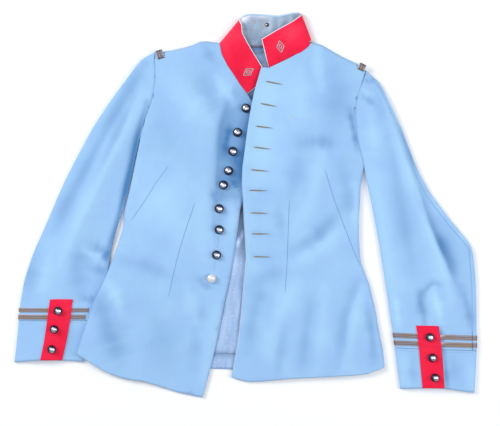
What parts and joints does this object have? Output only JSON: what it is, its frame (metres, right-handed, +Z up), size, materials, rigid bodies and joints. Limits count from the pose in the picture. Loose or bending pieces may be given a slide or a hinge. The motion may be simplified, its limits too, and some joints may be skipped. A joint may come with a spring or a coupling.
{
  "type": "uniform tunic",
  "caption": "Wool uniform tunic with a red stand collar, braided cuffs and a row of half-ball buttons, laid flat on its back",
  "frame": {"origin": "the middle of the whole on the surface that it lies on", "axes": "+X to the wearer's left, +Y from the hem to the collar, +Z up from the surface"},
  "size_m": [0.8812, 0.732, 0.0235],
  "materials": {
    "blue_wool": "fulled wool cloth",
    "red_wool": "fulled wool cloth",
    "lilac_satin": "satin weave",
    "pale_satin": "satin weave, stained",
    "grey_braid": "metallic braid",
    "silver": "polished",
    "dark_metal": "worn"
  },
  "bodies": {
    "root": {"back": "blue_wool", "back_hem_band": "lilac_satin", "braid_lower_l": "grey_braid", "braid_lower_r": "grey_braid", "braid_upper_l": "grey_braid", "braid_upper_r": "grey_braid", "collar": "red_wool", "collar_lining": "pale_satin", "collar_stud": "dark_metal", "cuff_button_l1": "silver", "cuff_button_l2": "silver", "cuff_button_l3": "silver", "cuff_button_r1": "silver", "cuff_button_r2": "silver", "cuff_button_r3": "silver", "cuff_l": "blue_wool", "cuff_r": "blue_wool", "cuff_tab_l": "red_wool", "cuff_tab_r": "red_wool", "front_button_1": "silver", "front_button_2": "silver", "front_button_3": "silver", "front_button_4": "silver", "front_button_5": "silver", "front_button_6": "silver", "front_button_7": "silver", "front_button_8": "silver", "front_button_9": "silver", "front_left": "blue_wool", "front_right": "blue_wool", "lining": "lilac_satin", "shoulder_loop_l": "grey_braid", "shoulder_loop_r": "grey_braid", "top_sleeve_l": "blue_wool", "top_sleeve_r": "blue_wool", "under_sleeve_l": "blue_wool", "under_sleeve_r": "blue_wool"}
  },
  "joints": []
}
